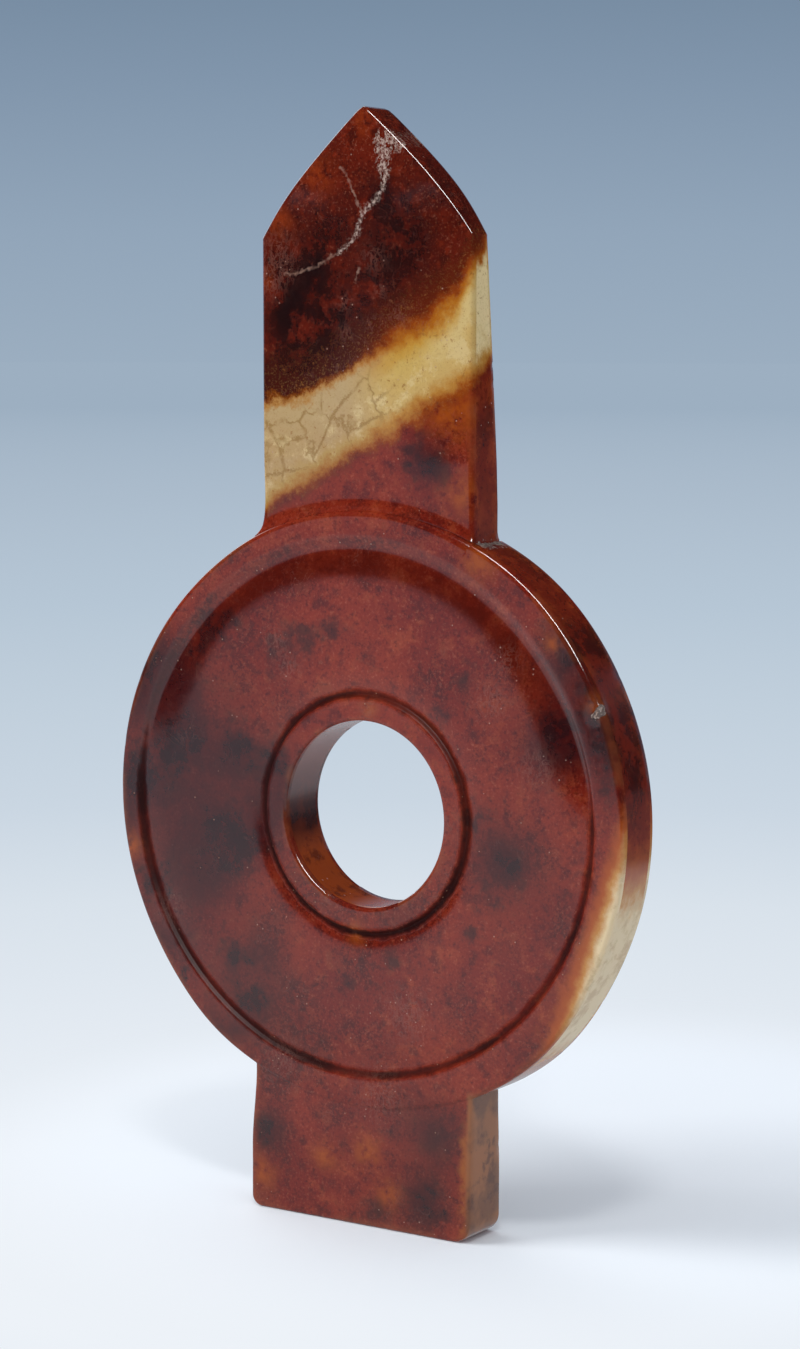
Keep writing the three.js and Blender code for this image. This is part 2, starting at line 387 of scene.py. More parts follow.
def blade_face(x, z):
    """The blade's half-thickness: flat at the root, with a soft middle ridge above."""
    thinning = SHOULDER_THINNING * np.clip((z - THINNING_START) / (THINNING_END - THINNING_START), 0, 1)
    thinning *= 1 - THINNING_FADE * ramp(z, THINNING_END, THINNING_FADE_END)
    middle = BLADE_HALF + (POINT_HALF - BLADE_HALF) * ramp(z, THINNING_START, TABLET_HEIGHT)
    across = np.hypot(x - blade_middle(z), RIDGE_SOFTNESS) - RIDGE_SOFTNESS
    return middle - thinning * across / (BLADE_HALF_WIDTH - RIDGE_SOFTNESS)


def from_foot_edge(x, z):
    """Distance in mm from the foot's sides, underside and rounded corners."""
    sides = np.minimum(x - foot_left(z), FOOT_RIGHT - x)
    near = np.minimum(sides, z)
    for corner, off in foot_corners(x):
        in_corner = (off < corner) & (z < corner)
        near = np.where(in_corner, corner - np.hypot(corner - off, corner - z), near)
    return np.clip(near, 0, None)


def foot_face(x, z):
    """The foot's half-thickness, a little less at its neck."""
    return FOOT_HALF - FOOT_NECK_THINNER * ramp(z, FOOT_NECK_START, FOOT_NECK_END)


# %% One face of the tablet: rings, then blade, then foot, all in one list of points
SOFT_JOIN = 0.12


def soft_max(a, b):
    """The larger of two heights, with a small rounded valley where they meet."""
    return (a + b + np.sqrt((a - b) ** 2 + SOFT_JOIN**2)) / 2


def with_fillet(half, away, edge):
    """A half-thickness that climbs to the disc's edge within a small distance from it."""
    climb = np.clip(1 - away / ROOT_FILLET_REACH, 0, 1) ** 2
    return half + np.clip(edge - half, 0, None) * climb


def face_points(side):
    """Points, distance from the nearest arris, and the index maps of the three grids."""
    rings, drops = disc_rings(side)
    x, z = np.moveaxis(rings, 2, 0)
    from_bore = np.hypot(x - BORE_CENTRE[0], z - DISC_Z - BORE_CENTRE[1]) - BORE_RADIUS
    arris = np.minimum(RAY_EDGE - np.hypot(x, z - DISC_Z), from_bore)
    ring_half = disc_half(z) - drops
    foot_x, foot_z = x[:, foot_rays], z[:, foot_rays]
    from_edge = from_foot_edge(foot_x, foot_z)
    foot_under = foot_face(foot_x, foot_z) - arris_drop(from_edge, FOOT_ARRIS)
    ring_half[:, foot_rays] = soft_max(ring_half[:, foot_rays], foot_under)
    arris[:, foot_rays[1:-1]] += from_edge[:, 1:-1]
    arris[:, blade_rays] += from_blade_edge(x[:, blade_rays], z[:, blade_rays])
    grids = [(x, ring_half, z, arris)]

    blade = blade_columns(rings[-1][blade_rays])
    x, z = np.moveaxis(blade[1:], 2, 0)
    arris = from_blade_edge(x, z)
    half = blade_face(x, z) - arris_drop(arris, BLADE_ARRIS)
    away = np.hypot(x, z - DISC_Z) - ROUND_RADIUS
    grids.append((x, with_fillet(half, away, disc_half(z) - DISC_ARRIS), z, arris))

    foot = foot_columns(rings[-1][foot_rays])
    x, z = np.moveaxis(foot[1:], 2, 0)
    arris = from_foot_edge(x, z)
    half = foot_face(x, z) - arris_drop(arris, FOOT_ARRIS)
    away = np.hypot(x - foot[0, :, 0], z - foot[0, :, 1])
    grids.append((x, with_fillet(half, away, ring_half[-1, foot_rays]), z, arris))

    places = [np.stack([x.ravel(), side * y.ravel(), z.ravel()], 1) for x, y, z, a in grids]
    points = np.concatenate(places)
    points[:, 1] -= forward_lean(points[:, 2])
    starts = np.cumsum([0] + [x.size for x, y, z, a in grids])
    maps = [start + np.arange(x.size).reshape(x.shape) for start, (x, y, z, a) in zip(starts, grids)]
    for number, columns in ((1, blade_rays), (2, foot_rays)):
        maps[number] = np.vstack([maps[0][-1, columns], maps[number]])
    return points, np.concatenate([a.ravel() for x, y, z, a in grids]), maps


def quads_between(grid):
    """Quads of a grid of indices, rows outwards and columns turning left as seen from the front."""
    return np.stack([grid[:-1, :-1], grid[1:, :-1], grid[1:, 1:], grid[:-1, 1:]], -1).reshape(-1, 4)


# %% Both faces, and the loops where their walls will start
WALL_ROWS = 8
points, arris, quads, outlines, bores, sides = [], [], [], [], [], []
first = 0
for side in (-1, 1):
    face, face_arris, (ring_map, blade_map, foot_map) = face_points(side)
    grids = (np.hstack([ring_map, ring_map[:, :1]]), blade_map, foot_map)
    face_quads = np.concatenate([quads_between(grid) for grid in grids]) + first
    quads.append(face_quads if side < 0 else face_quads[:, ::-1])
    loop = [ring_map[-1, right_rim_rays], blade_map[1:, 0], blade_map[-1, 1:], blade_map[-2:0:-1, -1]]
    loop += [ring_map[-1, left_rim_rays], foot_map[1:, 0], foot_map[-1, 1:], foot_map[-2:0:-1, -1]]
    outlines.append(np.concatenate(loop) + first)
    bores.append(ring_map[0][::-1] + first)
    points.append(face)
    arris.append(face_arris)
    sides.append(np.full(len(face), side))
    first += len(face)

# %% The walls: rows of points between the two faces, all along each loop
shares = np.linspace(0, 1, WALL_ROWS + 1)[1:-1, None, None]
wall_arris = np.minimum(shares, 1 - shares)[:, 0, 0] * 2 * DISC_HALF
faces = np.concatenate(points)
for front_loop, back_loop in (outlines, bores):
    rows = faces[front_loop] * (1 - shares) + faces[back_loop] * shares
    maps = first + np.arange(rows[:, :, 0].size).reshape(rows.shape[:2])
    grid = np.vstack([front_loop, maps, back_loop])
    quads.append(quads_between(np.hstack([grid, grid[:, :1]])))
    points.append(rows.reshape(-1, 3))
    arris.append(np.repeat(wall_arris, rows.shape[1]))
    sides.append(np.zeros(maps.size))
    first += maps.size
points, arris, quads, sides = (np.concatenate(part) for part in (points, arris, quads, sides))
print(len(quads) * 2, "triangles on", len(points), "points before carving")

# %% [markdown]
# ## Where the stone changes
# Dark clouds and orange lights run through the slab, and dust and a little mineral crust lie on it.
# Noise alone would put them anywhere, so their places are listed here as soft spots,
# stored as attributes of the mesh, and roughened later by noise in the material.
# Some of the darker zones also hold painted shade, where the field's upper slopes miss the bright veil.

# %% Soft spots that run through the slab: x, z and reach in millimetres
DARK_CLOUDS = (
    (-21, 124.7, 6), (-14, 128, 4), (-6.5, 129.8, 3), (-48.1, 101.9, 7), (-32.1, 103, 5),
    (-31.1, 79, 6), (-36, 84, 6), (-57.5, 98.9, 5), (-27.9, 47.7, 5), (-33.4, 56.3, 4), (-3.4, 52.3, 3),
    (32.3, 75.1, 4), (38, 82.1, 4), (30, 92, 4), (28, 67, 3), (48.5, 110, 4), (25.9, 120.3, 3),
    (20.8, 113.8, 3), (-42, 124, 6), (-38.2, 131, 5), (47, 116, 4), (51, 131, 4), (58, 115, 4),
    (-24.5, 17.4, 4), (-22, 100, 4), (24.2, 26.5, 3.5), (16.6, 10, 4), (4.8, 4.2, 3), (20, 6, 3),
    (-4, 17, 2), (9, 22, 3), (-61, 92, 5), (-56, 70, 5), (-47, 52, 4), (-17, 190, 8), (-5, 197, 6),
    (-20, 200, 6), (-12, 207, 5), (10, 214, 6), (3, 204, 5), (15, 167, 5), (21, 164, 3), (5, 222, 5),
    (-8, 214, 5), (-57, 118, 4), (60, 108, 5), (8, 60, 3), (-17, 89, 4), (-13, 97, 5), (55, 121, 3),
    (52, 128, 3), (62, 100, 4), (2, 124.5, 2.5),
)
# darker zones: deeper tone of the stone, and painted shade where the field's upper slopes miss the bright
# veil
DEEP_ZONES = (
    (-44, 106, 14), (-39, 87, 15), (-29, 52, 12), (-48, 72, 12), (47, 108, 7), (36, 84, 9), (-27, 92, 9),
    (-61, 100, 12), (-60, 86, 12), (-53, 62, 9), (-35, 42, 8), (-54, 118, 9), (58, 112, 9), (52, 124, 8),
    (-14, 192, 14), (-18, 206, 9), (8, 210, 10), (16, 166, 5), (-24, 18, 5), (16, 8, 6), (18, 22, 8),
    (-24, 97, 7),
)
ORANGE_LIGHTS = (
    (2, 16.5, 3.5), (-25.9, 7.8, 3.5), (-9, 14, 3), (7.9, 8, 3), (30, 146, 4), (0.2, 237.6, 2.5),
    (-12, 227, 4), (-22, 217, 3), (-26, 205, 2), (19, 180, 5), (2.5, 113.5, 2), (-1, 64.5, 2.5),
    (24, 177, 6), (25, 160, 4), (-62, 78, 3), (58, 56, 6), (52, 47, 6), (58, 118, 2), (48, 130, 2),
)
DUSTY_PLACES = (
    (-22.5, 210, 5), (-24, 205, 4), (4.5, 202, 1.6), (-4.5, 199.7, 2), (8.8, 196.7, 2.5), (3, 209, 3),
    (-4, 193, 2), (3, 195, 2), (-18.5, 121, 3), (-22, 127, 3), (2.5, 113.5, 2), (33, 117, 4),
    (37, 126, 3), (44, 104, 4), (12, 48, 6), (-20, 34, 5), (5, 30, 6), (-52, 65, 4), (22, 90, 3),
)
CORNER_CRUST = ((28.8, 149.9, 1.0), (30.6, 149.4, 1.0), (32.4, 148.8, 0.8))
RIM_CRUST = ((59, 116.5, 1.1), (59.8, 117.8, 0.8), (58.2, 115.6, 0.8))


def spots(places):
    """The strength of a list of soft round spots at every point of the mesh."""
    total = np.zeros(len(points))
    for x, z, reach in places:
        total += np.exp(-((points[:, 0] - x) ** 2 + (points[:, 2] - z) ** 2) / reach**2)
    return np.clip(total, 0, 1)


# %% The field's own polar places: painted shade along its upper edge, and the grooves at the foot of each step
CREST_RADIUS = FIELD_RADIUS - 6.2
CREST_SPREAD = 3.4
CREST_RIGHT_END = (15, 50)
CREST_LEFT_END = (-160, -125)
# past these angles from straight below, the groove at the rim fades, with less painted shade and less
# dullness
GROOVE_FADE_ANGLES = (85, 120)
GROOVE_FADE_SHIFT = 2.5
NO_GROOVE = 50
field_across = points[:, 0] + sides * FIELD_CENTRE[0]
field_up = points[:, 2] - DISC_Z - FIELD_CENTRE[1]
field_distance = np.hypot(field_across, field_up)
field_angle = np.degrees(np.arctan2(field_up, field_across))
# painted shade: a dark band along the field's upper edge, where its slope mirrors no bright veil
painted_crest_shade = np.exp(-(((field_distance - CREST_RADIUS) / CREST_SPREAD) ** 4))
painted_crest_shade *= ramp(field_angle, *CREST_RIGHT_END) * ramp(-field_angle, *CREST_LEFT_END)
bore_distance = np.hypot(points[:, 0] - BORE_CENTRE[0], points[:, 2] - DISC_Z - BORE_CENTRE[1])
from_below = np.abs((field_angle + 270) % 360 - 180)
groove_fade_above = GROOVE_FADE_SHIFT * ramp(from_below, *GROOVE_FADE_ANGLES)
rim_groove = np.abs(field_distance - FIELD_RADIUS + RIM_STEP_RUN) + groove_fade_above
collar_groove = np.abs(bore_distance - COLLAR_RADIUS - COLLAR_STEP_RUN)
groove = np.where(sides == 0, NO_GROOVE, np.minimum(rim_groove, collar_groove))

# %% The blank as a Blender mesh, with its attributes
attributes = {
    "face_side": sides,
    "arris_mm": arris,
    "dark": spots(DARK_CLOUDS),
    "deep": spots(DEEP_ZONES),
    "painted_crest_shade": np.where(sides == 0, 0, painted_crest_shade),
    "orange": spots(ORANGE_LIGHTS),
    "dusty": spots(DUSTY_PLACES),
    "crust": spots(CORNER_CRUST) * (sides == 0) + spots(RIM_CRUST) * (sides < 0),
    "groove_mm": groove,
}
mesh = bpy.data.meshes.new("carved_tablet")
mesh.from_pydata((points * MM).tolist(), [], quads.tolist())
mesh.polygons.foreach_set("use_smooth", np.ones(len(quads), bool))
for name, values in attributes.items():
    mesh.attributes.new(name, "FLOAT", "POINT").data.foreach_set("value", values.astype(np.float32))
mesh.update()
tablet = bpy.data.objects.new("carved_tablet", mesh)
bpy.context.scene.collection.objects.link(tablet)
print("blank made with", len(attributes), "attributes")

# %% [markdown]
# ## Small helpers for every node tree
# Trees of nodes are long to write out, so one function adds a node, sets it, links it and gives
# back the socket that the next node needs. Settings that come up often get a name of their own,
# and so do the two formulas that most of the trees are made of: a product of shares, and a sum.
# Colours are written as sRGB hex, as on a colour chart.


# %% Colours and nodes
def linear(hex_colour):
    """An sRGB hex colour as the linear values that shaders use."""
    parts = [int(hex_colour[i : i + 2], 16) / 255 for i in (1, 3, 5)]
    return tuple(p / 12.92 if p <= 0.04045 else ((p + 0.055) / 1.055) ** 2.4 for p in parts) + (1.0,)


def wire(tree, kind, inputs=(), out=0, stops=(), **settings):
    """Adds a node, sets it and its colour stops, fills or links its inputs, and returns an output."""
    node = tree.nodes.new(kind if "Node" in kind else "ShaderNode" + kind)
    for key, value in settings.items():
        setattr(node, key, value)
    for key, value in inputs.items() if isinstance(inputs, dict) else enumerate(inputs):
        if isinstance(value, bpy.types.NodeSocket):
            tree.links.new(value, node.inputs[key])
        else:
            node.inputs[key].default_value = linear(value) if str(value).startswith("#") else value
    for number, (place, colour) in enumerate(stops):
        elements = node.color_ramp.elements
        element = elements[number] if number < 2 else elements.new(place)
        element.position, element.color = place, linear(colour)
    return node.outputs[out] if len(node.outputs) else node


TIMES = {"operation": "MULTIPLY"}
PLUS = {"operation": "ADD"}
MINUS = {"operation": "SUBTRACT"}
TIMES_PLUS = {"operation": "MULTIPLY_ADD"}
LESS = {"operation": "LESS_THAN"}
SAME = {"operation": "COMPARE"}
HIGHEST = {"operation": "MAXIMUM"}
SCALED = {"operation": "SCALE"}
APART = {"operation": "DISTANCE", "out": "Value"}
ALONG = {"operation": "DOT_PRODUCT", "out": "Value"}
SMOOTH = {"interpolation_type": "SMOOTHSTEP"}
# a mix of colours takes its share at input 0 and the colours at 6 and 7
MIX = {"data_type": "RGBA", "out": 2}
NUMBER = {"data_type": "FLOAT"}
print("rust red is", [round(c, 3) for c in linear("#701b0f")])


# %% The two formulas, added to the tree that the name add stands for
def share_of(*parts):
    """A product of shares. A tuple is a smooth ramp: its value, start and end, then low and high."""
    ramps = [add("MapRange", part, **SMOOTH) if isinstance(part, tuple) else part for part in parts]
    product = ramps[0]
    for part in ramps[1:]:
        product = add("Math", (product, part), **TIMES)
    return product


def sum_of(total, *parts):
    """A sum that starts with a value, and adds others, each times the number beside it."""
    for value, factor in parts:
        total = add("Math", (value, factor, total), **TIMES_PLUS)
    return total


# %% [markdown]
# ## Carving the relief
# On the real disc the field is ground down between the rim and the collar, with a smooth step at
# each and a low crown between. It could be cut with a profile and a lathe, but its centre, the
# bore's and the disc's own differ by a millimetre, and all follow one rule of distance. Geometry
# Nodes can sink every point by that rule, then ripple the surface as hand grinding does, nick its
# arrises and raise the grains of crust.

# %% The carving tree and its named inputs
carve = bpy.data.node_groups.new("carve_relief", "GeometryNodeTree")
carving = {
    "Collar radius": COLLAR_RADIUS,
    "Collar step": COLLAR_STEP_RUN,
    "Collar depth": COLLAR_STEP_DEPTH,
    "Collar slope": COLLAR_SLOPE_RUN,
    "Rim radius": FIELD_RADIUS,
    "Rim step": RIM_STEP_RUN,
    "Rim widening": RIM_STEP_WIDENING,
    "Rim depth": RIM_STEP_DEPTH,
    "Rim slope": RIM_SLOPE_RUN,
    "Field depth": FIELD_DEPTH,
    "Ripple": 0.12,
    "Ripple size": 22.0,
    "Chip depth": 0.35,
    "Chip size": 2.4,
    "Crust height": 0.35,
    "Seed": 3.0,
    "Bore centre": (BORE_CENTRE[0], 0, BORE_CENTRE[1] + DISC_Z),
    "Field centre": (FIELD_CENTRE[0], 0, FIELD_CENTRE[1] + DISC_Z),
}
carve.interface.new_socket("Geometry", in_out="INPUT", socket_type="NodeSocketGeometry")
for name, value in carving.items():
    kind = "NodeSocketVector" if isinstance(value, tuple) else "NodeSocketFloat"
    carve.interface.new_socket(name, in_out="INPUT", socket_type=kind)
carve.interface.new_socket("Stone", in_out="INPUT", socket_type="NodeSocketMaterial")
carve.interface.new_socket("Geometry", in_out="OUTPUT", socket_type="NodeSocketGeometry")
given = carve.nodes.new("NodeGroupInput").outputs
print("the carving tree has", len(given) - 1, "inputs")

# %% Distances from the two centres; the back's field centre is the front's mirrored
add = partial(wire, carve)
place = add("VectorMath", {0: add("GeometryNodeInputPosition"), "Scale": 1 / MM}, **SCALED)
side, arris_here, crust_here = (
    add("GeometryNodeInputNamedAttribute", {"Name": name}, **NUMBER)
    for name in ("face_side", "arris_mm", "crust")
)
flat = add("VectorMath", (place, (1, 0, 1)), **TIMES)
from_bore = add("VectorMath", (flat, given["Bore centre"]), **APART)
centre = add("SeparateXYZ", [given["Field centre"]]).node.outputs
turned_x = add("Math", (add("Math", (side, -1), **TIMES), centre["X"]), **TIMES)
from_field = add("VectorMath", (flat, add("CombineXYZ", {0: turned_x, 2: centre["Z"]})), **APART)

# %% The rim's step runs wider near the top
WIDENING_START = -10.0
WIDENING_END = 45.0
high = add("Math", (add("SeparateXYZ", [place], out="Z"), centre["Z"]), **MINUS)
widening = share_of((high, WIDENING_START, WIDENING_END, 0, given["Rim widening"]))
rim_step = add("Math", (given["Rim step"], widening), **PLUS)

# %% Sinking the field: a smooth step from each side, then a slope up to the crown
depths = []
for distance, part, step, way in (
    (from_bore, "Collar", given["Collar step"], 1),
    (from_field, "Rim", rim_step, -1),
):
    foot_depth = given[part + " depth"]
    past = add("Math", (distance, given[part + " radius"]), **MINUS)
    beyond = add("Math", (past, way), **TIMES)
    stepped = share_of((beyond, 0, step, 0, foot_depth))
    slope_end = add("Math", (step, given[part + " slope"]), **PLUS)
    fall = add("Math", (add("MapRange", (beyond, slope_end, step)), 2), operation="POWER")
    rise = add("Math", (1, fall), **MINUS)
    crown = add("Math", (foot_depth, given["Field depth"]), **MINUS)
    depths.append(add("Math", (stepped, add("Math", (rise, crown), **TIMES)), **MINUS))
depth = add("Math", (add("Math", depths, **PLUS), given["Field depth"]), **MINUS)
inwards = add("Math", (side, -MM), **TIMES)
sink = add("CombineXYZ", {1: add("Math", (depth, inwards), **TIMES)})
carved = add("GeometryNodeSetPosition", {"Geometry": given["Geometry"], "Offset": sink})

# %% Ripple of the grinding, nicks in the arrises, and grains of crust
noises = []
for size in ("Ripple size", "Chip size"):
    scale = add("Math", (1, given[size]), operation="DIVIDE")
    inputs = {"Vector": place, "W": given["Seed"], "Scale": scale}
    noises.append(add("TexNoise", inputs, noise_dimensions="4D"))
swell, grit = noises
ripple = add("Math", (add("Math", (swell, 0.5), **MINUS), given["Ripple"]), **TIMES)
nick = share_of((grit, 0.66, 0.74, 0, given["Chip depth"]), (arris_here, 1, 0))
lump = share_of((grit, 0.4, 0.6, 0, given["Crust height"]), crust_here)
height = add("Math", (add("Math", (ripple, nick), **MINUS), lump), **PLUS)
height = add("Math", (height, MM), **TIMES)
shift = add("VectorMath", {0: add("GeometryNodeInputNormal"), "Scale": height}, **SCALED)
worn = add("GeometryNodeSetPosition", {"Geometry": carved, "Offset": shift})
real = add("GeometryNodeRealizeInstances", {"Geometry": worn})
finished = add("GeometryNodeSetMaterial", {"Geometry": real, "Material": given["Stone"]})
add("NodeGroupOutput", {"Geometry": finished})
print("the carving tree has", len(carve.nodes), "nodes")

# %% [markdown]
# ## Russet nephrite, polished
# Nephrite is a felt of fine fibres with an index near 1.61, so it takes a soft greasy polish and
# passes a little light at thin edges. Iron has stained this pebble russet from its skin inwards,
# with darker clouds, orange where the stain is thin, and the pale heart left as a band across the
# blade. The colours are mixed by noise at sizes seen on the stone, from thumb-wide clouds to specks.
# A finish below is a place on the tablet, its main colour, and the layers that lie over that colour.
# A layer is its colour, and the shares whose product says how strongly it is laid. Places and
# distances in these lists are in millimetres, and the other numbers are levels of the noises.

# %% A material, and noises at the stone's own sizes in millimetres
# deep dark red that mirrors the bright table as a soft grey veil, and glows a little at thin edges
stone = bpy.data.materials.new("polished_russet_nephrite")
stone.use_nodes = True
stone.node_tree.nodes.clear()
add = partial(wire, stone.node_tree)
place = add("VectorMath", {0: add("TexCoord", out="Object"), "Scale": 1 / MM}, **SCALED)
x, y, z = add("SeparateXYZ", [place]).node.outputs
noises = []
KINDS = ((34, 2, 0.5), (12, 4, 0.6), (6, 5, 0.7), (3.5, 5, 0.65), (1.1, 3, 0.6), (0.55, 2, 0.6))
for size, detail, rough in KINDS:
    inputs = {"Vector": place, "Scale": 1 / size, "Detail": detail, "Roughness": rough}
    noises.append(add("TexNoise", inputs))
broad, clouds, ragged, mottle, grain, fibres = noises
finishes = []

# %% The painted fields, and the walls round the outline and the bore
PAINTED = ("dark", "deep", "painted_crest_shade", "orange", "dusty", "crust", "groove_mm", "arris_mm", "face_side")
fields = [add("Attribute", out="Fac", attribute_name=name) for name in PAINTED]
dark, deep, painted_crest_shade, orange, dusty, crust, groove_mm, arris_mm, side = fields
BESIDE_BORE = 30.0
wall = add("Math", (add("Math", [side], operation="ABSOLUTE"), 0.5), **LESS)
up = add("Math", (z, DISC_Z), **MINUS)
radius = add("VectorMath", [add("CombineXYZ", (x, up, 0))], operation="LENGTH", out="Value")
in_bore = share_of(wall, add("Math", (radius, BESIDE_BORE), **LESS))
outer_wall = add("Math", (wall, in_bore), **MINUS)

# %% Russet over the whole slab: wine red to warm rust, with smoky clouds and thin orange lights
warm = share_of((mottle, 0.32, 0.62))
cloudy = sum_of(0, (mottle, 0.35), (ragged, 0.9))
torn = sum_of(0, (mottle, 1.2), (ragged, 1.6), (dark, 0.42))
elsewhere = add("MapRange", (dark, 0, 0.3, 0.25, 1))
dark_share = share_of((torn, 1.5, 1.95, 0, 0.72), elsewhere)
streak = add("Math", (ragged, 0.5, 0.03), **SAME)
russet = [
    ("#822815", (broad, 0.38, 0.62)),
    ("#983e20", (ragged, 0.5, 0.68, 0, 0.7)),
    ("#4e100e", (ragged, 0.48, 0.34, 0, 0.7)),
    ("#481212", (clouds, 0.5, 0.72, 0, 0.6)),
    ("#40100e", (mottle, 0.46, 0.34, 0, 0.5)),
    ("#2c0c0e", streak, (clouds, 0.46, 0.6, 0, 0.45)),
    ("#3c0e0b", (grain, 0.46, 0.3, 0, 0.4)),
    ("#a0553c", (grain, 0.58, 0.74, 0, 0.25)),
    ("#360c0a", (fibres, 0.48, 0.28, 0, 0.3)),
    ("#ac6048", (fibres, 0.55, 0.75, 0, 0.2)),
    # painted shade along the field's upper edge, where it misses the veil
    ("#4c1007", painted_crest_shade, (ragged, 0.36, 0.6, 0.95, 0.6)),
    # deeper tone, and painted shade on the field's upper slopes
    ("#340e10", deep, (clouds, 0.3, 0.55, 0.45, 0.85)),
    ("#1c0d11", dark_share),
    ("#93420f", warm, orange),
    ("#8a4426", (arris_mm, 2.2, 0.2), (clouds, 0.42, 0.6, 0, 0.5)),
]
finishes.append((1, "#701b0f", russet))

# %% The outer wall: the saw's face, darker, with orange by its arrises painted as the glow of light through the thin edge
wall_layers = [
    ("#3a100e", (clouds, 0.46, 0.6, 0, 0.75)),
    ("#8a3016", (ragged, 0.48, 0.62, 0, 0.7)),
    # painted glow: orange near the arrises, where light comes through the thin edge
    ("#9c421a", (arris_mm, 5, 0), (ragged, 0.42, 0.58, 0, 0.6)),
    ("#2c0c0a", (grain, 0.46, 0.3, 0, 0.5)),
    ("#1c0b0c", dark_share),
]
finishes.append((share_of(outer_wall, 0.85), "#6c2010", wall_layers))

# %% Grooves at the foot of each step, where the polish is thin, with painted shade laid along them
groove = sum_of(groove_mm, (mottle, 1.6))
dull = share_of((groove, 2.6, 1.6))
# painted shade along the grooves
groove_painted_shade = share_of((groove, 2, 1.1), (clouds, 0.35, 0.6, 0.55, 0.95))
finishes.append((groove_painted_shade, "#2c0a08", []))

# %% The bore's wall, left duller by the drill: dark, with painted light over its upper part, and painted orange below where light comes through
bore_layers = [
    ("#943e12", (sum_of(z, (clouds, -14)), 81, 72)),
    ("#541c0c", (ragged, 0.5, 0.62, 0, 0.7)),
    # painted light: the bore wall's upper part turned pale pink, as where it is lit
    ("#8a5a54", (z, 84, 106, 0, 0.85)),
]
finishes.append((in_bore, "#2a1012", bore_layers))

# %% The pale patch on the disc's rim and side, bounded by a parabola in polar terms
PATCH_CENTRE = math.radians(19.5)
PATCH_SHIFT_ON_WALL = math.radians(8.5)
PATCH_RADIUS = 62.6
PATCH_SPREAD = 5.6
PATCH_LIMIT = 67.0
angle = add("Math", (up, x), operation="ARCTAN2")
centre = sum_of(PATCH_CENTRE, (wall, PATCH_SHIFT_ON_WALL))
off = add("Math", (add("Math", (angle, centre), **PLUS), PATCH_SPREAD), **TIMES)
bound = sum_of(PATCH_RADIUS, (off, off))
into_patch = add("Math", (sum_of(radius, (mottle, 3.2)), bound), **MINUS)
patch_layers = [
    ("#bc8444", (into_patch, -0.6, 1.6)),
    ("#dec79e", (into_patch, 1, 2.8)),
    ("#a88458", (into_patch, 1, 3), (cloudy, 0.6, 0.75, 0, 0.5)),
]
on_disc = add("Math", (radius, PATCH_LIMIT), **LESS)
finishes.append((share_of((into_patch, -3.6, 0, 0, 0.95), on_disc), "#a04c1a", patch_layers))

# %% The tan skin left on the foot's right side, and the honey edge beside it
honey = share_of((sum_of(x, (mottle, 3)), 26.4, 28.6, 0, 0.9), (z, 30, 20), warm)
skin_layers = [
    ("#6c422c", (clouds, 0.42, 0.58, 0, 0.8)),
    ("#4a2a20", (ragged, 0.54, 0.66, 0, 0.6)),
]
finishes.append((honey, "#94501e", []))
finishes.append((share_of((x, 26.9, 28), (z, 34, 31)), "#935a34", skin_layers))

# %% Height in the band: it slopes up to the right, leans through the slab and flares at both sides
BAND_SLOPE = 0.53
BAND_LEAN = 0.55
BAND_FLARES = ((-12, -26, -4.5), (22.5, 27, -5.5))
BAND_SHIFT = -8.9
height = sum_of(z, (x, -BAND_SLOPE), (y, -BAND_LEAN))
upper_half = share_of((height, 174, 186))
flares = [(share_of((x, start, end), upper_half), rise) for start, end, rise in BAND_FLARES]
height = sum_of(height, *flares, (ragged, 9), (mottle, 3.6), (BAND_SHIFT, 1))

# %% Colours across the band, from below to above, at its creamy left and its golden right
LEFT_BAND = (
    (0, "#5c2416"), (0.175, "#541c0c"), (0.21, "#7c340e"), (0.245, "#9c6226"), (0.3, "#ae8a50"),
    (0.38, "#b09064"), (0.64, "#b4986c"), (0.675, "#a8763c"), (0.7, "#743608"), (0.73, "#40140c"),
    (1, "#30100c"),
)
RIGHT_BAND = (
    (0, "#5c2416"), (0.15, "#66200b"), (0.21, "#8c400f"), (0.27, "#b07a34"), (0.34, "#c09e60"),
    (0.52, "#c4a25a"), (0.61, "#bc8c38"), (0.67, "#a8641a"), (0.72, "#86380e"), (0.78, "#5c1e0b"),
    (1, "#3a120c"),
)
share = add("MapRange", (height, 160, 200))
left_band, right_band = (add("ValToRGB", [share], stops=stops) for stops in (LEFT_BAND, RIGHT_BAND))
band = add("Mix", {0: share_of((x, -6, 10)), 6: left_band, 7: right_band}, **MIX)

# %% Cracks between cells about 8 mm wide, stained brown, in the band's creamy left
CELL_SIZE = 8
bent = sum_of(0, (mottle, 3), (clouds, 9))
bent = add("CombineXYZ", (bent, bent, add("Math", (ragged, 7), **TIMES)))
bent = add("VectorMath", (place, bent), **PLUS)
cells = {"Vector": bent, "Scale": 1 / CELL_SIZE}
crack = share_of(
    (add("TexVoronoi", cells, feature="DISTANCE_TO_EDGE"), 0.07, 0), (mottle, 0.34, 0.52, 0.15, 0.65)
)
band_layers = [
    ("#d4ba88", (height, 171, 176), (height, 184, 178), (ragged, 0.48, 0.6, 0, 0.6)),
    ("#ccb27c", (height, 174, 179), (height, 187, 181), (x, 12, 24, 0, 0.7)),
    # lighter cream on the walls: partly their own paler colour, partly painted light making up for the
    # weaker light on them
    ("#e0c896", (height, 171, 175), (height, 188, 184), wall),
    ("#86622f", (height, 171, 173.5), (height, 186.5, 184), (x, 12, 3), crack),
    ("#8a5826", (grain, 0.6, 0.72, 0, 0.65)),
    ("#946c3c", (fibres, 0.5, 0.3, 0, 0.25)),
]

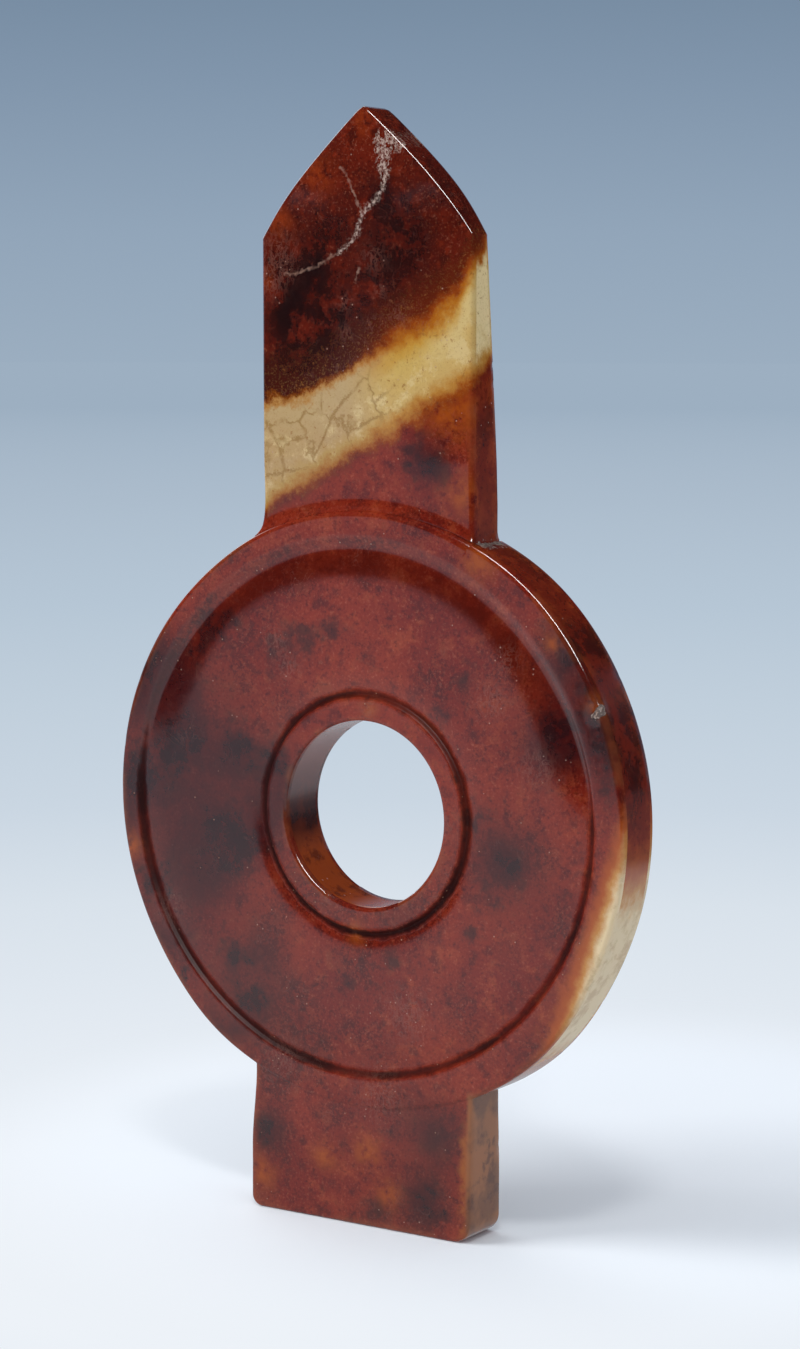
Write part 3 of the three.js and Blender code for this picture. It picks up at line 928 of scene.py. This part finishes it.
# %% The upper blade, dark and clear above the band, redder towards its edges
UPPER_PART = 120
EDGE_OF_DISC = (64.4, 66.6)
upper_part = add("Math", (z, UPPER_PART), operation="GREATER_THAN")
in_blade = share_of((radius, *EDGE_OF_DISC), upper_part)
upper_layers = [
    ("#42110b", (clouds, 0.42, 0.6, 0, 0.85)),
    ("#7a2410", (ragged, 0.5, 0.64, 0, 0.75)),
    ("#2c0d0a", (mottle, 0.46, 0.34, 0, 0.6)),
    ("#260c09", (grain, 0.46, 0.3, 0, 0.5)),
    ("#8c4834", (grain, 0.58, 0.74, 0, 0.4)),
    ("#96543c", (fibres, 0.55, 0.75, 0, 0.35)),
    ("#240c0b", deep, (cloudy, 0.45, 0.7, 0.1, 0.85)),
    ("#160a0b", dark, (cloudy, 0.5, 0.7, 0, 0.85)),
    ("#8c3410", warm, orange, 0.85),
]
finishes.append((share_of((height, 187, 192), in_blade), "#601a0d", upper_layers))
in_band = share_of((height, 166, 168.5), (height, 200, 190), in_blade)
finishes.append((in_band, band, band_layers))

# %% Listed lines: the white vein through the blade's point, and its fainter branches
VEIN = (
    (8.7, 232.7), (5.2, 233.4), (5.4, 230.9), (6.1, 226.5), (5.6, 223.8), (2.8, 220.7), (0.2, 218),
    (-1.8, 213.7), (-6.5, 209.9),
)
BRANCHES = (
    ((-6.5, 209.9), (-11.9, 207.7), (-20.7, 205.8)),
    ((-0.5, 206.8), (-1.8, 203.8)),
    ((-5.2, 228.2), (-2.8, 224.6), (0.2, 218.6)),
)
JAGS = 3.6
FAR_OFF = 50.0
jagged = (add("CombineXYZ", (mottle, 0, ragged)), (JAGS, 0, JAGS), (-JAGS / 2, 0, -JAGS / 2))
in_face = add("VectorMath", (place, (1, 0, 1), add("VectorMath", jagged, **TIMES_PLUS)), **TIMES_PLUS)


def distance_from(*lines):
    """The distance in mm, in the plane of the face, from lines of points given as x and z."""
    nearest = FAR_OFF
    for (x0, z0), (x1, z1) in (ends for line in lines for ends in zip(line, line[1:])):
        way = Vector((x1 - x0, 0, z1 - z0))
        from_start = add("VectorMath", (in_face, (x0, 0, z0)), **MINUS)
        along = add("VectorMath", (from_start, way), **ALONG)
        along = add("Math", (along, way.length_squared), operation="DIVIDE", use_clamp=True)
        foot_point = add("VectorMath", {0: way, "Scale": along}, **SCALED)
        gap = add("VectorMath", (from_start, foot_point), **APART)
        nearest = add("Math", (nearest, gap), operation="MINIMUM")
    return nearest


vein_mm = distance_from(VEIN)
scratch_mm = distance_from(*BRANCHES)
print("the vein is drawn from", len(VEIN), "points, and has", len(BRANCHES), "branches")

# %% The white vein: a healed crack, with a fine net round its upper part
STRAND_SIZE = 1.5
drawn_out = add("VectorMath", (bent, (1, 1, 0.45)), **TIMES)
strands = add("TexNoise", {"Vector": drawn_out, "Scale": 1 / STRAND_SIZE, "Detail": 4, "Roughness": 0.6})
strand = add("Math", (strands, 0.5, 0.04), **SAME)
near = sum_of(vein_mm, (grain, -1.9))
wide = add("MapRange", (z, 222, 234, 0.1, 1.8))
core = share_of((near, -0.4, -1.1, 0, 0.85))
net = share_of((add("Math", (near, wide), **MINUS), 0, -1.3), strand, 0.75)
less_on_wall = add("MapRange", (wall, 0, 1, 1, 0.3))
vein = share_of(add("Math", (core, net), **HIGHEST), (fibres, 0.38, 0.58, 0.25, 1), less_on_wall)
scratch = sum_of(scratch_mm, (grain, -1.7))
scratch = share_of((scratch, -0.3, -1, 0, 0.6), (mottle, 0.36, 0.56, 0.2, 1))
finishes.append((scratch, "#9a7868", []))
finishes.append((vein, "#b8a092", []))

# %% Pale specks and hair scratches where pits hold dust, thickest in the dusty places
PIT_SIZE = 1.3
HAIR_SIZE = 4
chance = share_of((clouds, 0.52, 0.68, 0.02, 0.3))
chance = add("Math", (chance, share_of(dusty, 0.6)), **HIGHEST)
pits = add("TexVoronoi", {"Vector": place, "Scale": 1 / PIT_SIZE})
pit_size = add("SeparateColor", [pits.node.outputs["Color"]])
speck = share_of((pits, 0.2, 0.05), add("Math", (pit_size, chance), **LESS))
hair = add("TexNoise", {"Vector": place, "Scale": 1 / HAIR_SIZE, "Distortion": 0.8})
hair = share_of(add("Math", (hair, 0.5, 0.012), **SAME), chance, 0.45)
fine_lines = add("Math", (hair, share_of(strand, dusty, 0.22)), **HIGHEST)
finishes.append((share_of(fine_lines, 0.8), "#96685a", []))
finishes.append((share_of(speck, 0.65), "#a87c66", []))

# %% Grains of pale mineral crust, in the corner above the disc and at its rim
crusted = share_of((sum_of(crust, (grain, 1.2)), 1, 1.12))
crust_layers = [
    ("#9c8678", (fibres, 0.5, 0.64)),
    ("#2c1b17", (grain, 0.48, 0.36)),
]
finishes.append((crusted, "#563e35", crust_layers))

# %% Laying every finish over the one before
colour = "#701b0f"
for share, tint, layers in finishes:
    for layer, *shares in layers:
        tint = add("Mix", {0: share_of(*shares), 6: tint, 7: layer}, **MIX)
    colour = add("Mix", {0: share, 6: colour, 7: tint}, **MIX)
print(len(finishes), "finishes of", sum(len(layers) for share, tint, layers in finishes), "layers")

# %% The polish: soft and greasy, duller in the bore, the grooves and the crust, with fine waves
WAVE_SIZE = 2.6
WAVE_HEIGHT = 0.015 * MM
PIT_DEPTH = 0.05 * MM
GRAIN_HEIGHT = 0.6 * MM
polished = add("MapRange", (grain, 0.3, 0.7, 0.08, 0.14))
duller = ((vein, 0.35), (speck, 0.3), (in_bore, 0.12), (dull, 0.3), (crusted, 0.5))
mirroring = add("MapRange", (dull, 0, 1, 0.5, 0.08))
waves = add("TexNoise", {"Vector": place, "Scale": 1 / WAVE_SIZE})
surface = add("Bump", {"Height": waves, "Distance": WAVE_HEIGHT})
pitted = {"Height": speck, "Distance": PIT_DEPTH, "Normal": surface}
surface = add("Bump", pitted, invert=True)
grains = {"Height": share_of(crusted, grain), "Distance": GRAIN_HEIGHT, "Normal": surface}
surface = add("Bump", grains)
values = {
    "Base Color": colour, "Roughness": sum_of(polished, *duller), "Specular IOR Level": mirroring,
    "Normal": surface, "IOR": 1.61,
    "Subsurface Weight": 0.12, "Subsurface Radius": (1, 0.4, 0.2), "Subsurface Scale": 0.0025,
}
add("OutputMaterial", [add("BsdfPrincipled", values)])
print("the stone's material has", len(stone.node_tree.nodes), "nodes")

# %% Carving the tablet: the tree runs on the blank, and its result is kept as a plain mesh
modifier = tablet.modifiers.new(carve.name, "NODES")
modifier.node_group = carve
carving["Stone"] = stone
for item in carve.interface.items_tree:
    if item.in_out == "INPUT" and item.name in carving:
        modifier[item.identifier] = carving[item.name]
evaluated = tablet.evaluated_get(bpy.context.evaluated_depsgraph_get())
tablet.data = bpy.data.meshes.new_from_object(evaluated)
tablet.modifiers.remove(modifier)
bpy.data.meshes.remove(mesh)
tablet.data.name = tablet.name
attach(tablet, "root")
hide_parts("jade_tablet")
print(tablet.name, "has", len(tablet.data.polygons), "faces after carving")

# %% [markdown]
# ## The studio
# The tablet stands on a pale sweep that darkens to a blue grey with distance. The floor near it
# takes its shadow; further out it turns into plain colour for the camera, and into a bright table
# for reflections, which lays the soft grey veil over the polished faces.

# %% Floor: a flat disc of rings, centred under the tablet
FLOOR_RADII = (0.5, 2, 8, 25, 60)
SPOKES = 96
turns = np.linspace(0, 2 * np.pi, SPOKES, endpoint=False)
places = [(r * np.cos(turn), r * np.sin(turn), 0) for r in FLOOR_RADII for turn in turns]
places.append((0, 0, 0))
spokes = [(n, (n + 1) % SPOKES) for n in range(SPOKES)]
inner_starts = range(0, SPOKES * (len(FLOOR_RADII) - 1), SPOKES)
faces = [(a + n, a + SPOKES + n, a + SPOKES + m, a + m) for a in inner_starts for n, m in spokes]
faces += [(len(places) - 1, n, m) for n, m in spokes]
floor_mesh = bpy.data.meshes.new("floor")
floor_mesh.from_pydata(places, [], faces)
floor = bpy.data.objects.new("floor", floor_mesh)
bpy.context.scene.collection.objects.link(floor)
print("floor", FLOOR_RADII[-1] * 2, "m across")

# %% The sweep's colour, from white paper near the tablet to blue grey far off
SWEEP = (
    (0, "#edf2f8"), (0.18, "#e2e9f1"), (0.3, "#d9e2eb"), (0.4, "#cad6e2"), (0.5, "#c1cfdc"),
    (0.61, "#b6c6d5"), (0.76, "#acbccc"), (1, "#9dafc1"),
)
# matt paper has no gloss of its own, so the tablet's soft shadow is all that shows on it
sweep = bpy.data.materials.new("matt_paper_sweep")
sweep.use_nodes = True
sweep.node_tree.nodes.clear()
add = partial(wire, sweep.node_tree)
spot = add("TexCoord", out="Object")
away = add("VectorMath", [spot], operation="LENGTH", out="Value")
decades = add("Math", (away, 10), operation="LOGARITHM")
far_colour = add("ValToRGB", [add("MapRange", (decades, -1, 1))], stops=SWEEP)

# %% What polished faces mirror: a white sheet at the front left, and the lit table with its edge
SHEET_WAY = (-0.555, -0.832, 0)
SHEET_ACROSS = (0.832, -0.555, 0)
SHEET_SLANT = 0.1
SHEET_END = 14.0
TABLE_FRONT = (0.23, -0.973, 0)
TABLE_EDGE = 0.555
TABLE_GLOW = 0.85
RIGHT_BACK = (0.55, 0.83, 0)
RIGHT_BACK_EDGE = 0.3
RIGHT_BACK_GLOW = 0.2
along, across, forward, backward = (
    add("VectorMath", (spot, way), **ALONG) for way in (SHEET_WAY, SHEET_ACROSS, TABLE_FRONT, RIGHT_BACK)
)
slant = add("Math", [add("Math", (across, along), operation="DIVIDE")], operation="ABSOLUTE")
ahead = add("Math", (along, 0), operation="GREATER_THAN")
sheet = share_of(ahead, (slant, SHEET_SLANT + 0.03, SHEET_SLANT), (along, SHEET_END + 2, SHEET_END - 2))
on_table = share_of((forward, TABLE_EDGE + 0.05, TABLE_EDGE))
bright = add("Math", (on_table, sheet), **HIGHEST)
lit = (backward, RIGHT_BACK_EDGE + 0.1, RIGHT_BACK_EDGE, RIGHT_BACK_GLOW, TABLE_GLOW)
# close to the tablet the mirrored table is dimmed, a painted contact shadow in what the faces mirror
bright = share_of(bright, lit, add("MapRange", (away, 0.02, 0.25, 0.6, 1)))

# %% Paper that takes the shadow, and plain colour beyond it
PAPER_COLOUR = "#eef2f7"
PAPER_CENTRE = (0.01, 0.08, 0)
PAPER_START = 0.08
PAPER_END = 0.17
paper = add("BsdfDiffuse", {"Color": PAPER_COLOUR})
seen = add("Emission", [far_colour])
mirrored = add("Emission", {"Color": far_colour, "Strength": bright})
from_shadow = add("VectorMath", (spot, PAPER_CENTRE), **APART)
blend = share_of((from_shadow, PAPER_START, PAPER_END))
ray = add("LightPath").node.outputs
near_and_far = add("MixShader", (blend, paper, seen))
not_camera = add("MixShader", (ray["Is Glossy Ray"], paper, mirrored))
add("OutputMaterial", [add("MixShader", (ray["Is Camera Ray"], not_camera, near_and_far))])
floor.data.materials.append(sweep)

# %% World: a blue-grey backdrop for the camera, and a dim even light for everything else
BACKDROP = ((0, "#9dafc1"), (0.35, "#92a5b9"), (0.7, "#8195ab"), (1, "#72879d"))
BACKDROP_HEIGHTS = (-0.01, 0.13)
BACKDROP_WAY = (-0.7, 0.7, 0)
BACKDROP_TOP = 0.3
ROOM_GLOW = 0.03
FILL_COLOUR = "#e6edf5"
FILL_STRENGTH = 0.68
studio = bpy.data.worlds.new("studio")
bpy.context.scene.world = studio
studio.use_nodes = True
studio.node_tree.nodes.clear()
add = partial(wire, studio.node_tree)
direction = add("TexCoord")
high = add("SeparateXYZ", [direction], out="Z")
backdrop = add("ValToRGB", [add("MapRange", (high, *BACKDROP_HEIGHTS))], stops=BACKDROP)
away = add("VectorMath", (direction, BACKDROP_WAY), **ALONG)
behind = share_of((away, 0.25, 0.45), (high, BACKDROP_TOP + 0.1, BACKDROP_TOP))
glow = add("Math", (behind, ROOM_GLOW), **HIGHEST)
seen = add("Background", [backdrop])
fill = add("Background", (FILL_COLOUR, FILL_STRENGTH))
mirrored = add("Background", (backdrop, glow))
ray = add("LightPath").node.outputs
others = add("MixShader", (ray["Is Glossy Ray"], fill, mirrored))
add("OutputWorld", [add("MixShader", (ray["Is Camera Ray"], others, seen))])
print("the world has", len(studio.node_tree.nodes), "nodes")


# %% Lamps
def softbox(name, direction, distance, size, power, along=(0, 0, 1)):
    """A lamp of two sides that shines at the disc from a direction and distance in metres."""
    lamp = bpy.data.lights.new(name, "AREA")
    lamp.shape = "RECTANGLE"
    lamp.size, lamp.size_y = size
    lamp.energy = power
    holder = bpy.data.objects.new(name, lamp)
    towards = Vector(direction).normalized()
    upright = towards.cross(Vector(along)).normalized()
    turn = Matrix((upright.cross(towards), upright, towards)).transposed().to_4x4()
    centre = Vector((0, 0, DISC_Z * MM))
    holder.matrix_world = Matrix.Translation(centre + towards * distance) @ turn
    holder.visible_camera = False
    bpy.context.scene.collection.objects.link(holder)
    return holder


softbox("key_softbox", (-0.62, -0.5, 0.62), 1.7, (0.8, 0.8), 14.5).visible_glossy = False
softbox("top_softbox", (0.3, -0.47, 0.83), 1.5, (0.2, 0.2), 4).visible_glossy = False
softbox("back_softbox", (-0.75, 0.5, 0.45), 1.8, (1.2, 1.2), 7)
# only polished faces mirror this narrow strip, as the bright line on the right-hand arrises
strip = softbox("strip_light", (0.327, -0.499, 0.8), 1.5, (1.2, 0.3), 34, along=(-0.845, 0.23, 0.485))
strip.visible_diffuse = False

# %% View settings
bpy.context.scene.view_settings.view_transform = "Standard"
